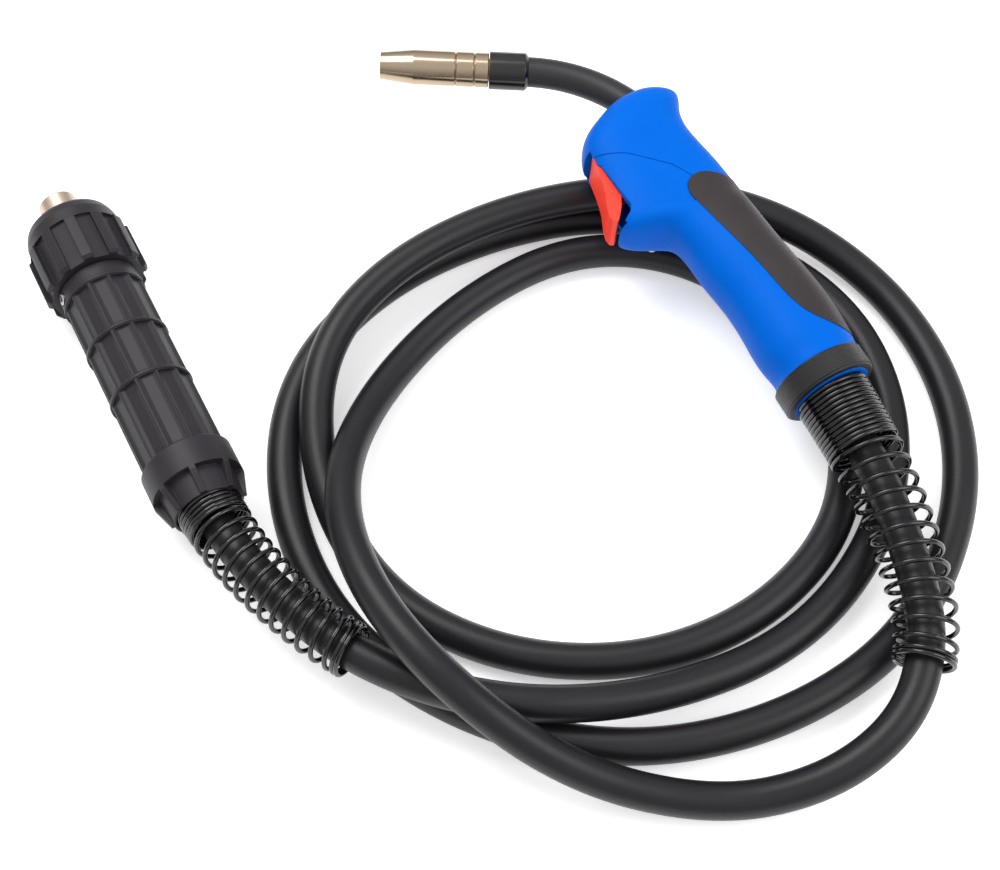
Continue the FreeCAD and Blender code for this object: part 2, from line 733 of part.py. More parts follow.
screw_solids = [Screw(x, y) for x, y in SCREW_PLACES]
left_shell = half_shell(1)
right_shell = half_shell(-1).cut([screw.access for screw in screw_solids])
solid_feature("handle_shell_left", left_shell, TORCH_FRAME)
solid_feature("handle_shell_right", right_shell, TORCH_FRAME)
solid_feature("grip_insert_left", grip_insert(1), TORCH_FRAME)
solid_feature("grip_insert_right", grip_insert(-1), TORCH_FRAME)
solid_feature("shell_screws", Part.makeCompound([screw.Shape for screw in screw_solids]), TORCH_FRAME)

collar_radius = size("collar_diameter") / 2
turned("rear_collar", [
    (-size("collar_length"), size("lip_diameter") / 2), (-size("collar_length"), collar_radius - 1.2),
    (-size("collar_length") + 1.2, collar_radius), (-0.8, collar_radius), (0, collar_radius - 0.8),
    (0, size("lip_diameter") / 2),
], TORCH_FRAME)
turned("cable_support", [
    (-size("collar_length"), size("cable_diameter") / 2), (-size("collar_length"), size("lip_bore") / 2),
    (3, size("lip_bore") / 2), (3, size("cable_diameter") / 2),
], TORCH_FRAME)

core_start = VECTOR(plain(size("cable_in_handle")), 0, 0)
core_end = neck_tail + VECTOR(union_rear, 0, 0)
core_radius = plain(size("core_diameter")) / 2
solid_feature("handle_core", rod_along([Part.LineSegment(core_start, core_end).toShape()], core_radius), TORCH_FRAME)
lead_points = [
    VECTOR(plain(size("cable_in_handle")), 6.4, 1.5), VECTOR(40, 8.2, 3.5), VECTOR(70, 8.6, 5),
    VECTOR(98, 15, 3), VECTOR(SWITCH_X - 10.75, 25, 0),
]
lead_edges, lead_radii = rounded_route(lead_points)
solid_feature("control_leads", rod_along(lead_edges, 1.2), TORCH_FRAME)

# ---------------------------------------------------------------- trigger and switch

trigger = extruded("trigger", [
    (150.6, 38.5), (149.2, 41), (144, 42), (139, 42.9), (133, 44.2), (127, 46), (122, 48.2), (118, 49.8),
    (114.4, 50.7), (111.2, 50.4), (110, 48.4), (112, 46.2), (117, 42.4), (124, 38.6), (137, 36.2),
    (140.4, 32.8), (147.6, 32.6), (150.6, 34.6),
], size("trigger_width"), TORCH_FRAME)
doc.recompute()
pin_hole_sketch = attached_sketch(trigger, "trigger_pin_hole", "XY")
draw_circle(pin_hole_sketch, size("pivot_x"), size("pivot_y"), size("pin_diameter") + size("slide_gap") * 2)
pin_pocket = trigger.newObject("PartDesign::Pocket", "trigger_pin_pocket")
pin_pocket.Profile = pin_hole_sketch
pin_pocket.Type = 1
pin_pocket.Midplane = True

trigger_pin = doc.addObject("Part::Cylinder", "trigger_pin")
trigger_pin.setExpression("Radius", (size("pin_diameter") / 2).text)
trigger_pin.setExpression("Height", pin_length.text)
pin_place = FreeCAD.Placement(VECTOR(PIVOT_X, PIVOT_Y, -PIN_LENGTH / 2), FreeCAD.Rotation())
keep(trigger_pin, "trigger_pin", TORCH_FRAME.multiply(pin_place))

PLUNGER = plain(size("plunger_diameter")) / 2
SLIDE_GAP = plain(size("slide_gap"))
UP_Y = VECTOR(0, 1, 0)
switch_low = VECTOR(SWITCH_X - 10, SWITCH_LOW, -SWITCH_HALF)
switch_high = VECTOR(SWITCH_X + 10, SWITCH_TOP, SWITCH_HALF)
switch_bore = Part.makeCylinder(PLUNGER + SLIDE_GAP, 9, VECTOR(SWITCH_X, SWITCH_TOP - 8, 0), UP_Y)
solid_feature("microswitch", box_between(switch_low, switch_high).cut(switch_bore), TORCH_FRAME)
plunger_top = 37.8
plunger = Part.makeCylinder(PLUNGER, plunger_top - SWITCH_TOP + 4.5, VECTOR(SWITCH_X, SWITCH_TOP - 4.5, 0), UP_Y)
solid_feature("switch_plunger", plunger, TORCH_FRAME)
spring_turn = FreeCAD.Rotation(VECTOR(1, 0, 0), -90)
trigger_spring = wire_coil(2.2, 0.6, 1.3, 4.2)
trigger_spring.Placement = FreeCAD.Placement(VECTOR(SWITCH_X + 6.5, SWITCH_TOP + 0.4, 0), spring_turn)
solid_feature("trigger_spring", Part.makeCompound([trigger_spring]), TORCH_FRAME)

# ---------------------------------------------------------------- plug

cable_radius = size("cable_diameter") / 2
housing_radius = size("housing_diameter") / 2
tail_radius = size("housing_tail") / 2
end_cap = turned("end_cap", [
    (0, size("plug_spring_start") / 2 + 0.2), (0, 17.4), (13, 18.8), (13, size("cap_diameter") / 2),
    (size("cap_length") - 1, size("cap_diameter") / 2), (size("cap_length"), size("cap_diameter") / 2 - 1),
    (size("cap_length"), tail_radius), (8, tail_radius), (8, cable_radius), (3, cable_radius),
    (3, size("plug_spring_start") / 2 + 0.2),
], PLUG_FRAME)
doc.recompute()
rib_sketch = draw_outline(attached_sketch(end_cap, "cap_rib_outline", "XY"), [
    (0, 17), (13.4, 18.4), (13.4, size("cap_diameter") / 2), (11.4, size("cap_diameter") / 2), (0, 18.8),
])
rib = end_cap.newObject("PartDesign::Pad", "cap_rib")
rib.Profile = rib_sketch
rib.Midplane = True
rib.Length = 3.2
polar_pattern(end_cap, "cap_ribs", rib, size("cap_ribs"))

ring_radius = size("ring_diameter") / 2
housing_outline = [
    (8, size("housing_bore") / 2), (8, tail_radius), (size("cap_length"), tail_radius),
    (size("cap_length"), housing_radius),
]
for band in range(1, 4):
    ring_start = size("band_start") + size("band_length") * band
    housing_outline += [
        (ring_start, housing_radius), (ring_start, ring_radius),
        (ring_start + size("ring_width"), ring_radius), (ring_start + size("ring_width"), housing_radius),
    ]
seat_radius = size("seat_diameter") / 2
seat_start = size("nut_start") - 0.6
housing_end = size("nut_start") + size("flange_length") + size("running_gap")
housing_outline += [
    (seat_start, housing_radius), (seat_start, seat_radius), (housing_end, seat_radius),
    (housing_end, size("housing_bore") / 2),
]
housing = turned("plug_housing", housing_outline, PLUG_FRAME)
flute_outline = [
    (-4.9, housing_radius + 2), (-4.6, housing_radius - 0.9), (-2.6, housing_radius - 1.6),
    (2.6, housing_radius - 1.6), (4.6, housing_radius - 0.9), (4.9, housing_radius + 2),
]
for band in range(3):
    flute_end = size("band_start") + size("band_length") * (band + 1) - 0.6
    flute_start = size("band_start") + size("band_length") * band + size("ring_width") + 0.6
    if band == 0:
        flute_start = size("cap_length") + 0.6
    flute_length = flute_end - flute_start
    axial_cuts(housing, "flutes_%d" % (band + 1), flute_outline, flute_start, flute_length, size("flutes"))

nut_frame = PLUG_FRAME.multiply(FreeCAD.Placement(VECTOR(0, 0, 0), FreeCAD.Rotation(AXIAL, 15)))
nut_radius = size("nut_diameter") / 2
nut_end = size("nut_start") + size("nut_length")
nut_neck = size("nut_start") + size("flange_length")
nut = turned("locking_nut", [
    (size("nut_start"), seat_radius + size("running_gap")), (size("nut_start"), nut_radius - 1.5),
    (size("nut_start") + 1.5, nut_radius), (nut_end - 13, nut_radius), (nut_end - 11.4, nut_radius - 2.2),
    (nut_end - 5, nut_radius - 2.5), (nut_end - 1.5, size("nut_rim") / 2 + 0.7), (nut_end, size("nut_rim") / 2),
    (nut_end, size("nut_bore") / 2), (nut_neck, size("nut_bore") / 2),
    (nut_neck, seat_radius + size("running_gap")),
], nut_frame)
groove_floor = nut_radius - size("groove_depth")
groove_half = size("groove_width") / 2
axial_cuts(nut, "grooves", [
    (-groove_half, groove_floor), (groove_half, groove_floor), (groove_half, nut_radius + 1),
    (-groove_half, nut_radius + 1),
], size("nut_start") - 1, size("nut_length") - 11, size("nut_grooves"))

flange_start = nut_neck + size("running_gap")
flange_end = flange_start + size("flange_length")
disc_end = flange_end + size("insulator_disc")
barrel_radius = size("barrel_diameter") / 2
barrel_end = nut_end + size("barrel_reach")
neck_radius = barrel_radius - 0.3
neck_stop = disc_end + size("base_ring") + 0.4
body_tail = flange_start - 21
core_stop = body_tail + 12
turned("plug_body", [
    (body_tail, size("core_diameter") / 2), (body_tail, size("housing_bore") / 2),
    (flange_start, size("housing_bore") / 2), (flange_start, size("flange_diameter") / 2),
    (flange_end, size("flange_diameter") / 2), (flange_end, neck_radius), (neck_stop, neck_radius),
    (neck_stop, barrel_radius), (barrel_end - 1, barrel_radius),
    (barrel_end, barrel_radius - 1), (barrel_end, 2), (core_stop, 2), (core_stop, size("core_diameter") / 2),
], PLUG_FRAME)
insulator = turned("plug_insulator", [
    (flange_end, neck_radius), (flange_end, size("flange_diameter") / 2 - 0.3),
    (disc_end, size("flange_diameter") / 2 - 0.3), (disc_end, neck_radius),
], PLUG_FRAME)
doc.recompute()
hole_sketch = attached_sketch(insulator, "contact_holes_outline", "YZ", flange_end)
draw_circle(hole_sketch, 0, size("contact_circle") / 2, size("contact_diameter") + size("slide_gap") * 2)
contact_hole = insulator.newObject("PartDesign::Pocket", "contact_hole")
contact_hole.Profile = hole_sketch
contact_hole.Reversed = True
contact_hole.Length = plain(size("insulator_disc"))
contact_hole.setExpression("Length", size("insulator_disc").text)
polar_pattern(insulator, "contact_holes", contact_hole, Size(2.0, "2"))

contact_start = flange_end + size("contact_travel") + 1.6
contact_end = contact_start + size("contact_length")
contact_radius = size("contact_diameter") / 2
for label, turn in (("contact_pin_upper", 0), ("contact_pin_lower", 180)):
    around = FreeCAD.Placement(VECTOR(0, 0, 0), FreeCAD.Rotation(AXIAL, turn))
    aside = FreeCAD.Placement(VECTOR(0, 0, plain(size("contact_circle")) / 2), FreeCAD.Rotation())
    turned(label, [
        (contact_start, 0), (contact_start, contact_radius), (contact_end - 1, contact_radius),
        (contact_end, contact_radius - 1), (contact_end, 0),
    ], PLUG_FRAME.multiply(around).multiply(aside))

coil_height = plain(size("contact_travel")) + 0.8
for label, turn in (("contact_spring_upper", 0), ("contact_spring_lower", 180)):
    coil = wire_coil(1.3, 0.5, 1.0, coil_height)
    stand = FreeCAD.Placement(VECTOR(plain(flange_end) + 0.35, 0, plain(size("contact_circle")) / 2),
                              FreeCAD.Rotation(VECTOR(0, 1, 0), 90))
    around = FreeCAD.Placement(VECTOR(0, 0, 0), FreeCAD.Rotation(AXIAL, turn))
    solid_feature(label, coil, PLUG_FRAME.multiply(around).multiply(stand))

base_ring = doc.addObject("Part::Torus", "barrel_ring")
base_ring.setExpression("Radius1", (neck_radius + size("base_ring") / 2).text)
base_ring.setExpression("Radius2", (size("base_ring") / 2).text)
base_ring_place = FreeCAD.Placement(VECTOR(plain(disc_end) + plain(size("base_ring")) / 2, 0, 0),
                                    FreeCAD.Rotation(VECTOR(0, 1, 0), 90))
keep(base_ring, "barrel_ring", PLUG_FRAME.multiply(base_ring_place))

core_line = Part.LineSegment(VECTOR(plain(size("cable_in_plug")), 0, 0), VECTOR(plain(core_stop), 0, 0))
solid_feature("plug_core", rod_along([core_line.toShape()], core_radius), PLUG_FRAME)

# The housing's small cross-head screw sits on the smooth band behind the nut.
SMALL = plain(size("small_screw")) / 2
screw_x = plain(size("nut_start")) - 4.2
screw_out = VECTOR(0, math.cos(math.radians(22)), math.sin(math.radians(22)))
screw_base = VECTOR(screw_x, 0, 0) + screw_out * (plain(housing_radius) - 2.2)
small_screw = Part.makeCylinder(SMALL, 2.7, screw_base, screw_out)
cross_turn = FreeCAD.Placement(screw_base + screw_out * 1.9, FreeCAD.Rotation(VECTOR(0, 0, 1), screw_out))
for length, width in ((3.6, 0.8), (0.8, 3.6)):
    slot = Part.makeBox(length, width, 2, VECTOR(-length / 2, -width / 2, 0))
    slot.Placement = cross_turn
    small_screw = small_screw.cut(slot)
solid_feature("housing_screw", small_screw, PLUG_FRAME)
screw_seat = Part.makeCylinder(SMALL, 6, screw_base, screw_out)

# ---------------------------------------------------------------- checks and export

doc.recompute()
seat_tool = doc.addObject("Part::Feature", "screw_seat")
seat_tool.Shape = screw_seat
seat_tool.Placement = PLUG_FRAME
seated = doc.addObject("Part::Cut", "seated_housing")
seated.Base = housing
seated.Tool = seat_tool
doc.recompute()
sub_parts.remove(housing)
housing.Label = "housing_before_seat"
seated.Label = "plug_housing"
sub_parts.append(seated)

for item in doc.Objects:
    if "Invalid" in item.State or "Error" in item.State:
        raise RuntimeError("%s did not recompute" % item.Label)
for piece in sub_parts:
    if piece.Shape.isNull() or not piece.Shape.isValid():
        raise RuntimeError("%s has no valid shape" % piece.Label)
    if piece.Shape.Volume <= 0:
        raise RuntimeError("%s is inside out" % piece.Label)

os.makedirs("parts", exist_ok=True)
for piece in sub_parts:
    piece.Shape.exportStep("parts/%s.step" % piece.Label)
print("%d sub-parts written" % len(sub_parts))
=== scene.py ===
# %% [markdown]
# # A MIG welding torch with its cable and plug
#
# The frame comes first. Every rigid piece was designed as a solid and arrives already in place, so
# nothing here moves it. What this lesson adds is what solids do badly: the cable's smooth lie, the
# wound kink springs, the soft grip and the finishes.

# %% The frame
import json
import math

import bpy
import numpy as np
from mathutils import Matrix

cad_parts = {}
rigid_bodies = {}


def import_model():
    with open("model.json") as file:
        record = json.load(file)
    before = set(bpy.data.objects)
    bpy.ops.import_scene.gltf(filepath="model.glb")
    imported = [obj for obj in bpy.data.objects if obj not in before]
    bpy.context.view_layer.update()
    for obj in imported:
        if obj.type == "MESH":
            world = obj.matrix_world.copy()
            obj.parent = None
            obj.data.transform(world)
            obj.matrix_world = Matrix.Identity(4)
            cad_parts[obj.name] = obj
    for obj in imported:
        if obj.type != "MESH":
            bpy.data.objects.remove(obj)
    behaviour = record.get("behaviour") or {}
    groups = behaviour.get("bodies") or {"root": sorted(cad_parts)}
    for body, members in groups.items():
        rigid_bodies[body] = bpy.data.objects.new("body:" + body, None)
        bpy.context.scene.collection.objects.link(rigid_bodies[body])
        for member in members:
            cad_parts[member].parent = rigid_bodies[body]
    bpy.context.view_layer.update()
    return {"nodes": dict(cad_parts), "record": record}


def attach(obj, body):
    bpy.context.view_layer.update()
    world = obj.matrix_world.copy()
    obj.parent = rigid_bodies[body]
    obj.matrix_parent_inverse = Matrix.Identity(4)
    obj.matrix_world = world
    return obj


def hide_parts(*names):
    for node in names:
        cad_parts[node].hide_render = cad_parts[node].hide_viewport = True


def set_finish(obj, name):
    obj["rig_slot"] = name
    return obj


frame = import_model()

NODES = frame["nodes"]

# %% [markdown]
# ## Where things lie
#
# The coil of cable was laid out flat in a frame of its own, in millimetres, with the floor at zero.
# One turn and one shift bring it to the frame of the solids. The torch and the plug each have a
# straight axis of their own, so each gets a frame too: x forward, y sideways, z out of the side that
# faces up. Working in those frames keeps every number short.

# %% Frames of the coil, the torch and the plug
MM = 0.001


def turn_z(degrees):
    """A turn about Z: x goes to (cos, sin) and y to (-sin, cos) of the angle."""
    c, s = math.cos(math.radians(degrees)), math.sin(math.radians(degrees))
    return np.array([[c, -s, 0], [s, c, 0], [0, 0, 1]])


def tip_up(degrees):
    """A turn that raises the x axis by the angle and keeps y level."""
    c, s = math.cos(math.radians(degrees)), math.sin(math.radians(degrees))
    return np.array([[c, 0, -s], [0, 1, 0], [s, 0, c]])


LAYOUT_TURN = -27.6
LAYOUT_SHIFT = np.array([4.306, 0.415, 0.0])


def coil_to_world(points):
    """Millimetres in the coil's frame to metres in the frame of the solids: turn, then shift."""
    points = np.asarray(points, float)
    return (points @ turn_z(LAYOUT_TURN).T + LAYOUT_SHIFT) * MM


class Frame:
    """A straight piece's own axes. world(p) is the frame's corner plus its turn applied to p."""

    def __init__(self, corner, yaw, slope):
        self.corner = np.array(corner, float)
        self.turn = turn_z(yaw) @ tip_up(slope)

    def world(self, points):
        return coil_to_world(np.asarray(points, float) @ self.turn.T + self.corner)

    def direction(self, vector):
        return turn_z(LAYOUT_TURN) @ self.turn @ np.asarray(vector, float)


TORCH = Frame((150.6, 9.7, 43.0), 117.5, 4.5)
PLUG = Frame((-135.0, -55.8, 26.5), 117.6, 0.0)
print("torch starts at", TORCH.world([0, 0, 0]).round(4))
print("and the plug at", PLUG.world([0, 0, 0]).round(4))

# %% [markdown]
# ## The camera
#
# A small object on a table is looked down on. The lens is long enough that the far side of the coil
# is drawn only a little smaller than the near side.

# %% The camera looks down at sixty degrees
CAMERA_HEIGHT = 748.0
CAMERA_BACK = 431.9
camera_data = bpy.data.cameras.new("camera")
camera_data.lens = 63.0
camera_data.sensor_width = 36.0
camera_data.sensor_fit = "HORIZONTAL"
camera_data.clip_start = 0.01
camera = bpy.data.objects.new("camera", camera_data)
bpy.context.scene.collection.objects.link(camera)
camera.location = coil_to_world([0.0, -CAMERA_BACK, CAMERA_HEIGHT])
camera.rotation_euler = (math.radians(30.0), 0.0, math.radians(LAYOUT_TURN))
bpy.context.scene.camera = camera
print("camera at", [round(v, 3) for v in camera.location])

# %% [markdown]
# ## The cable
#
# A torch cable carries current, gas, wire and control leads in one thick rubber sheath, so it is
# heavy and stiff: it falls in wide loops that cross in long low humps. A NURBS curve of order three
# with the route's corners as control points gives bends whose tightness changes slowly, which is how
# such a cable bends. A chain of arcs would look like bent rod.

# %% The route, from the handle to the plug
CABLE_DIAMETER = 17.0
COIL_POINTS = [
    (186, -82, 36), (191, -124, 32), (177, -160, 24), (141, -184, 14), (92, -192, 9), (31, -181, 20),
    (-24, -151, 51), (-62, -101, 46), (-77, -42, 30), (-61, 18, 13), (-19, 73, 8.6), (36, 107, 8.6),
    (92, 104, 8.6), (140, 70, 8.6), (170, 14, 8.6), (165, -50, 8.6), (125, -99, 8.6), (66, -125, 8.6),
    (0, -122, 8.6), (-56, -91, 8.6), (-88, -33, 12), (-90, 32, 25), (-56, 83, 26.8), (3, 119, 26.8),
    (72, 133, 26.8), (141, 124, 19), (197, 84, 8.6), (224, 22, 8.6), (222, -45, 8.6), (189, -111, 8.6),
    (128, -153, 8.6), (56, -168, 8.6), (-14, -152, 8.6), (-74, -110, 8.6), (-105, -45, 8.6),
    (-104, 25, 8.6), (-67, 80, 8.6), (-6, 117, 8.6), (63, 131, 8.6), (128, 110, 8.6), (177, 69, 8.6),
    (195, 8, 8.6), (182, -58, 8.6), (138, -114, 8.6), (70, -145, 16), (0, -153, 27.5), (-62, -133, 29),
    (-108, -94, 29.5),
]
route = np.vstack([
    TORCH.world([[12, 0, 0], [-42, 0, 0]]),
    coil_to_world(COIL_POINTS),
    PLUG.world([[-6.5, 0, 0], [14, 0, 0]]),
])


def nurbs_route(name, points, radius):
    """A curve with one open NURBS spline, whose control points are the route's corners. Each point
    carries the tube's radius, so a bevel depth of one makes a tube of that radius. The curve's box is
    the box of its points widened by that radius, so the radius has to be the real one."""
    curve = bpy.data.curves.new(name, "CURVE")
    curve.dimensions = "3D"
    spline = curve.splines.new("NURBS")
    spline.points.add(len(points) - 1)
    spline.points.foreach_set("co", np.c_[points, np.ones(len(points))].ravel())
    spline.points.foreach_set("radius", np.full(len(points), radius))
    spline.order_u = 3
    spline.use_endpoint_u = True
    spline.resolution_u = 16
    piece = bpy.data.objects.new(name, curve)
    bpy.context.scene.collection.objects.link(piece)
    return piece


cable = nurbs_route("cable_sheath", route, CABLE_DIAMETER / 2 * MM)
route_mesh = bpy.data.meshes.new_from_object(cable)
line = np.empty(len(route_mesh.vertices) * 3)
route_mesh.vertices.foreach_get("co", line)
line = line.reshape(-1, 3)
bpy.data.meshes.remove(route_mesh)
line_steps = np.linalg.norm(np.diff(line, axis=0), axis=1)
line = line[np.r_[True, line_steps > 1e-7]]
along_line = np.r_[0, np.cumsum(np.linalg.norm(np.diff(line, axis=0), axis=1))]
cable.data.bevel_depth = 1.0
cable.data.bevel_resolution = 10
cable.data.use_fill_caps = True
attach(cable, "torch")
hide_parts("welding_cable")
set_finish(cable, "cable_rubber")
tuple(TORCH.world([-12.5, 0, 0]))
print("the cable's line is %.2f m long" % along_line[-1])

# %% [markdown]
# ## Meshes from grids
#
# A wire is a grid of points whose rows are rings. One function turns such an array into a mesh. It
# numbers the four corners of each cell all at once, joins each ring's last point to its first, and
# closes both ends with a fan.

# %% One function that makes a mesh from a grid


def mesh_piece(name, grid, body, slot):
    """A smooth closed piece from a grid of points, rows by columns by 3.

    Cell (i, j) has the corners (i, j), (i, j+1), (i+1, j+1) and (i+1, j), and the last column joins
    the first. The first and last rows close on their own middle points.
    """
    rows, columns = grid.shape[:2]
    i, j = np.meshgrid(np.arange(rows - 1), np.arange(columns), indexing="ij")
    k = (j + 1) % columns
    here, above = i * columns, (i + 1) * columns
    faces = np.stack([here + j, here + k, above + k, above + j], -1).reshape(-1, 4).tolist()
    first, last = rows * columns, rows * columns + 1
    j = np.arange(columns)
    k = (j + 1) % columns
    end = (rows - 1) * columns
    faces += np.stack([np.full(columns, first), k, j], -1).tolist()
    faces += np.stack([np.full(columns, last), end + j, end + k], -1).tolist()
    points = np.vstack([grid.reshape(-1, 3), [grid[0].mean(0), grid[-1].mean(0)]])
    mesh = bpy.data.meshes.new(name)
    mesh.from_pydata(points.tolist(), [], faces)
    mesh.update()
    mesh.polygons.foreach_set("use_smooth", np.ones(len(mesh.polygons), bool))
    piece = bpy.data.objects.new(name, mesh)
    bpy.context.scene.collection.objects.link(piece)
    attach(piece, body)
    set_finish(piece, slot)
    return piece


# %% [markdown]
# ## The kink springs
#
# A coil of hard-drawn wire grips the cable's end in the handle, and another the end in the plug. Each
# starts close-wound, so that it is stiff there, and opens out as it leaves, so that the cable's bend
# begins gently. The wire's centre line is a helix round the cable's own line: at each length along the
# cable there is a point, a sideways direction and a direction square to both, and the helix goes round
# them at a radius that shrinks along the way.

# %% A helix carried along the cable


def point_on_cable(lengths):
    """Points of the cable's line at given lengths along it, by straight interpolation."""
    return np.stack([np.interp(lengths, along_line, line[:, axis]) for axis in range(3)], -1)


def cable_frames(lengths):
    """Along, sideways and square directions: along is a central difference of the line, sideways is
    along crossed with up, and square is sideways crossed with along."""
    span = 4 * MM
    along = point_on_cable(lengths + span) - point_on_cable(lengths - span)
    along /= np.linalg.norm(along, axis=1)[:, None]
    sideways = np.cross(along, [0.0, 0.0, 1.0])
    sideways /= np.linalg.norm(sideways, axis=1)[:, None]
    return along, sideways, np.cross(sideways, along)


WIRE_DIAMETER = 2.4
WIRE = WIRE_DIAMETER * MM
POINTS_A_TURN = 44
POINTS_ROUND_WIRE = 12
CLOSE_PITCH = 1.02


def wound_spring(name, node, start, end, close_turns, open_turns, first_diameter, last_diameter):
    """A wound wire along the cable, from start to end, both lengths along it. The diameters are the
    outer ones at the two ends, in millimetres, and the radius of the helix is to the wire's middle.

    The pitch of each turn is one wire thickness over the close part and wide after it, and it narrows
    again over the last two turns, where the wire was cut. The travel is the sum of those pitches,
    scaled to end at the right place. The wire's centre is line + radius (cos a sideways + sin a
    square) with a the turn angle, and the wire's skin is a circle carried along that centre.
    """
    first_radius = (first_diameter / 2 - WIRE_DIAMETER / 2) * MM
    last_radius = (last_diameter / 2 - WIRE_DIAMETER / 2) * MM
    turns = close_turns + open_turns
    turn = np.linspace(0, turns, int(turns * POINTS_A_TURN))
    close_length = close_turns * WIRE * CLOSE_PITCH
    open_share = np.interp(turn, [close_turns, close_turns + 1.5, turns - 3, turns - 1.5],
                           [0, 1, 1, 0.25])
    opened = np.cumsum(np.where(turn > close_turns, open_share, 0.0))
    opened *= (abs(end - start) - close_length) / opened[-1]
    travel = np.minimum(turn, close_turns) * WIRE * CLOSE_PITCH + opened
    lengths = start + np.sign(end - start) * travel
    radius = (first_radius + (last_radius - first_radius) * travel / abs(end - start))[:, None]
    _, sideways, square = cable_frames(lengths)
    angle = (2 * math.pi * turn)[:, None]
    outward = np.cos(angle) * sideways + np.sin(angle) * square
    centre = point_on_cable(lengths) + radius * outward
    tangent = np.gradient(centre, axis=0)
    tangent /= np.linalg.norm(tangent, axis=1)[:, None]
    outward -= (outward * tangent).sum(1)[:, None] * tangent
    outward /= np.linalg.norm(outward, axis=1)[:, None]
    across = np.cross(tangent, outward)
    around = np.linspace(0, 2 * math.pi, POINTS_ROUND_WIRE, endpoint=False)[None, :, None]
    ring = np.cos(around) * outward[:, None] + np.sin(around) * across[:, None]
    grid = centre[:, None] + WIRE / 2 * ring
    piece = mesh_piece(name, grid, "torch", "black_lacquer")
    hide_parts(node)
    return piece


TORCH_SPRING_START, TORCH_SPRING_END = 26 * MM, 163 * MM
PLUG_SPRING_START = along_line[-1] - 14 * MM + 3 * MM
PLUG_SPRING_LENGTH = 104 * MM
torch_spring = wound_spring("torch_spring_wire", "torch_spring", TORCH_SPRING_START, TORCH_SPRING_END,
                            12, 15, 37.2, 29.0)
plug_spring = wound_spring("plug_spring_wire", "plug_spring", PLUG_SPRING_START,
                           PLUG_SPRING_START - PLUG_SPRING_LENGTH, 5, 15, 32.0, 26.5)
print("springs wound:", len(torch_spring.data.vertices), "and", len(plug_spring.data.vertices), "points")

# %% [markdown]
# ## Finishes
#
# A finish is a small tree of nodes. Colours are written as sRGB hex, as a paint chart gives them, and
# one function turns them to the linear numbers that light works in. One function adds any node with
# its settings and its links.

# %% Colour and node helpers


def linear(hex_colour):
    """sRGB to linear: c / 12.92 for dark values, else ((c + 0.055) / 1.055) to the power 2.4."""
    channels = np.array([int(hex_colour[i:i + 2], 16) / 255 for i in (1, 3, 5)])
    values = np.where(channels <= 0.04045, channels / 12.92, ((channels + 0.055) / 1.055) ** 2.4)
    return (*values.tolist(), 1.0)


def add_node(tree, kind, settings=None, **links):
    """Adds a node. settings are its properties or socket values; links join its sockets to outputs."""
    node = tree.nodes.new(kind)
    for key, value in (settings or {}).items():
        if isinstance(key, str) and hasattr(node, key):
            setattr(node, key, value)
        else:
            node.inputs[key].default_value = value
    for key, output in links.items():
        tree.links.new(output, node.inputs[key.replace("_", " ")])
    return node


def new_finish(name):
    """An empty material with its shader, and the Object coordinates that its patterns use."""
    material = bpy.data.materials.new(name)
    material.use_nodes = True
    tree = material.node_tree
    shader = tree.nodes["Principled BSDF"]
    coordinates = add_node(tree, "ShaderNodeTexCoord").outputs["Object"]
    return material, tree, shader, coordinates


def textured(name, dark, light, roughness, grain, bump, spread=0.06, edge=0.0, ridges=None, **settings):
    """A moulded or drawn surface. Colour wanders between two hex values with a slow noise, roughness
    wanders by spread, and a fine noise of the given grain in metres lifts the surface by bump. edge
    rounds sharp corners by that radius. ridges is an axis and a spacing: fine turned lines whose height
    is sin(2 pi distance along the axis / spacing)."""
    material, tree, shader, place = new_finish(name)
    slow = add_node(tree, "ShaderNodeTexNoise", {"Scale": 55.0, "Detail": 3.0}, Vector=place)
    fine = add_node(tree, "ShaderNodeTexNoise", {"Scale": 0.5 / grain, "Detail": 4.0}, Vector=place)
    colours = add_node(tree, "ShaderNodeMix", {"data_type": "RGBA", 6: linear(dark), 7: linear(light)})
    tree.links.new(slow.outputs["Fac"], colours.inputs[0])
    tree.links.new(colours.outputs[2], shader.inputs["Base Color"])
    rough = add_node(tree, "ShaderNodeMapRange", {"To Min": roughness - spread, "To Max": roughness + spread},
                     Value=slow.outputs["Fac"])
    tree.links.new(rough.outputs["Result"], shader.inputs["Roughness"])
    height = fine.outputs["Fac"]
    if ridges:
        axis, spacing = ridges
        along = add_node(tree, "ShaderNodeVectorMath", {"operation": "DOT_PRODUCT", 1: tuple(axis)})
        tree.links.new(place, along.inputs[0])
        phase = add_node(tree, "ShaderNodeMath", {"operation": "MULTIPLY", 1: 2 * math.pi / spacing})
        tree.links.new(along.outputs["Value"], phase.inputs[0])
        wave = add_node(tree, "ShaderNodeMath", {"operation": "SINE"})
        tree.links.new(phase.outputs[0], wave.inputs[0])
        height = wave.outputs[0]
    lift = add_node(tree, "ShaderNodeBump", {"Strength": bump, "Distance": grain}, Height=height)
    if edge:
        corner = add_node(tree, "ShaderNodeBevel", {"Radius": edge, "samples": 6})
        tree.links.new(corner.outputs["Normal"], lift.inputs["Normal"])
    tree.links.new(lift.outputs["Normal"], shader.inputs["Normal"])
    for socket, value in settings.items():
        shader.inputs[socket.replace("_", " ")].default_value = value
    return material


# %% [markdown]
# Each finish starts from what the real one is. Nylon mouldings are satin, with a fine spark-eroded
# grain from the tool. The cable's sheath and the grip are rubber, which is duller and a little
# mottled. The spring wire has a thin gloss lacquer. The nozzle is plated copper, polished, so it
# mirrors the room with a warm cast.

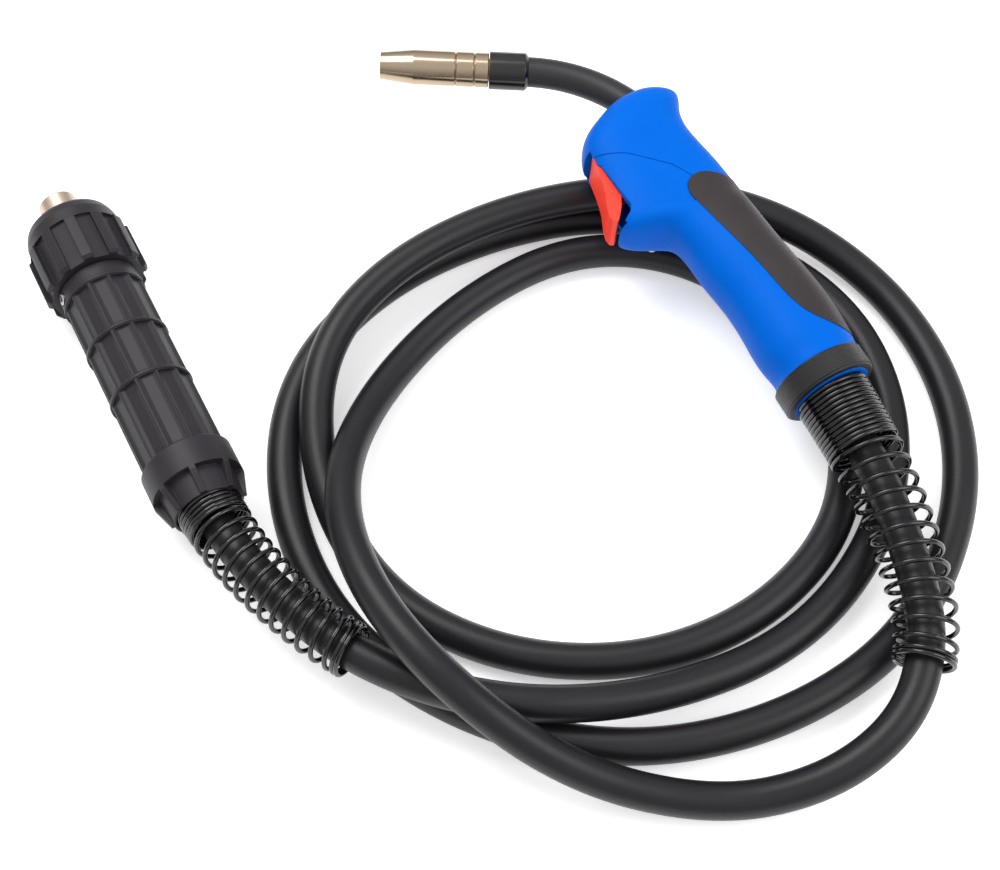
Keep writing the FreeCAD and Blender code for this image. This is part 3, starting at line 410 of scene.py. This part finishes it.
# %% The finishes
ROUNDED = 0.6 * MM
TORCH_AXIS = TORCH.direction([1, 0, 0])
FINISHES = {
    "blue_plastic": textured("blue_moulded_nylon", "#0059C0", "#0061CA", 0.42, 0.0006, 0.05, edge=ROUNDED,
                             Specular_IOR_Level=0.04),
    "red_plastic": textured("red_moulded_nylon", "#FB3E2D", "#FF4A38", 0.42, 0.0006, 0.04, edge=ROUNDED,
                            Specular_IOR_Level=0.15),
    "dark_plastic": textured("dark_grey_moulded_nylon", "#232024", "#2A272C", 0.46, 0.0005, 0.08,
                             edge=ROUNDED, Specular_IOR_Level=0.26),
    "black_plastic": textured("black_bakelite", "#0A0A0B", "#101011", 0.2, 0.0008, 0.02,
                              edge=ROUNDED, IOR=1.55),
    "grey_rubber": textured("soft_grip_rubber", "#2A2526", "#322C2D", 0.5, 0.0005, 0.10, edge=ROUNDED,
                            Specular_IOR_Level=0.3),
    "black_rubber": textured("moulded_black_rubber", "#121112", "#1A191A", 0.45, 0.0005, 0.5,
                             ridges=(TORCH_AXIS, 0.9 * MM), IOR=1.5),
    "dark_rubber": textured("neck_sleeve_rubber", "#1E1C20", "#252327", 0.42, 0.0006, 0.08,
                            Specular_IOR_Level=0.4),
    "cable_rubber": textured("cable_sheath_rubber", "#161417", "#1C1A1D", 0.38, 0.0007, 0.10,
                             Specular_IOR_Level=0.3),
    "black_lacquer": textured("black_lacquered_wire", "#050506", "#09090A", 0.12, 0.0010, 0.01, IOR=1.55),
    "nozzle_chrome": textured("satin_plated_copper", "#A8957F", "#B3A18C", 0.18, 0.0020, 0.01, 0.03,
                              edge=0.3 * MM, Metallic=1.0),
    "nickel": textured("satin_nickel_plate", "#BFAC9C", "#C8B6A8", 0.4, 0.0010, 0.02, 0.03, edge=0.3 * MM,
                       Metallic=1.0),
    "brass": textured("machined_brass", "#C9A95F", "#D6B970", 0.28, 0.0008, 0.02, 0.03, Metallic=1.0),
    "copper": textured("bare_copper", "#C27A55", "#CF8A66", 0.30, 0.0008, 0.02, 0.03, Metallic=1.0),
    "spring_steel": textured("bright_steel", "#A8A8AB", "#B5B5B8", 0.25, 0.0008, 0.02, 0.03, Metallic=1.0),
    "orange_rubber": textured("silicone_ring", "#D9703A", "#E07B45", 0.4, 0.0006, 0.04, IOR=1.45),
}
SLOT_OF_NODE = {part["node"]: part["material_slot"] for part in frame["record"]["subparts"]}
for name, node in NODES.items():
    node.data.materials.clear()
    node.data.materials.append(FINISHES[SLOT_OF_NODE[name]])
for piece in bpy.context.scene.objects:
    if "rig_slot" in piece and piece.type in ("MESH", "CURVE"):
        piece.data.materials.clear()
        piece.data.materials.append(FINISHES[piece["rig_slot"]])
print(len(FINISHES), "finishes on", len(NODES), "solids")

# %% [markdown]
# ## Floor and light
#
# The torch lies on a plain pale floor that is lit a little from below, as on a light table, so its
# shadows stay faint. Large soft lights put long calm highlights on the cable, and the sky is bright
# overhead and dim at the horizon, which gives the metal a dark side.

# %% Floor, world and lights
floor_material, floor_tree, floor_shader, floor_place = new_finish("pale_paper")
paper = add_node(floor_tree, "ShaderNodeTexNoise", {"Scale": 300.0}, Vector=floor_place)
paper_mix = add_node(floor_tree, "ShaderNodeMix",
                     {"data_type": "RGBA", 6: linear("#F6F6F6"), 7: linear("#FAFAFA")})
floor_tree.links.new(paper.outputs["Fac"], paper_mix.inputs[0])
floor_tree.links.new(paper_mix.outputs[2], floor_shader.inputs["Base Color"])
floor_shader.inputs["Roughness"].default_value = 0.9
floor_shader.inputs["Emission Color"].default_value = linear("#FFFFFF")
floor_shader.inputs["Emission Strength"].default_value = 0.42
FLOOR_HALF = 4.0
FLOOR_DROP = 0.2 * MM
floor_mesh = bpy.data.meshes.new("floor")
floor_mesh.from_pydata([(-FLOOR_HALF, -FLOOR_HALF, 0), (FLOOR_HALF, -FLOOR_HALF, 0),
                        (FLOOR_HALF, FLOOR_HALF, 0), (-FLOOR_HALF, FLOOR_HALF, 0)], [], [(0, 1, 2, 3)])
floor_mesh.materials.append(floor_material)
floor = bpy.data.objects.new("floor", floor_mesh)
floor.location.z = -FLOOR_DROP
bpy.context.scene.collection.objects.link(floor)

world = bpy.data.worlds.new("studio")
world.use_nodes = True
sky_tree = world.node_tree
sky_place = add_node(sky_tree, "ShaderNodeTexCoord").outputs["Generated"]
sky_height = add_node(sky_tree, "ShaderNodeSeparateXYZ", Vector=sky_place).outputs["Z"]
sky_light = add_node(sky_tree, "ShaderNodeMapRange",
                     {"From Min": -0.05, "From Max": 0.75, "To Min": 0.3, "To Max": 0.95}, Value=sky_height)
sky_tree.links.new(sky_light.outputs["Result"], sky_tree.nodes["Background"].inputs["Strength"])
sky_tree.nodes["Background"].inputs["Color"].default_value = linear("#FFFFFF")
bpy.context.scene.world = world


def soft_light(name, place, size, power):
    """A square area light in the coil's frame, in millimetres, that looks at the coil's middle."""
    data = bpy.data.lights.new(name, "AREA")
    data.size = size
    data.energy = power
    light = bpy.data.objects.new(name, data)
    bpy.context.scene.collection.objects.link(light)
    light.location = coil_to_world(place)
    light.rotation_euler = (-light.location).to_track_quat("-Z", "Y").to_euler()


soft_light("key", (-500, 500, 1300), 0.9, 14.0)
soft_light("fill", (900, -300, 900), 0.8, 6.0)
bpy.context.scene.view_settings.view_transform = "Standard"
print("floor, sky and two lights")
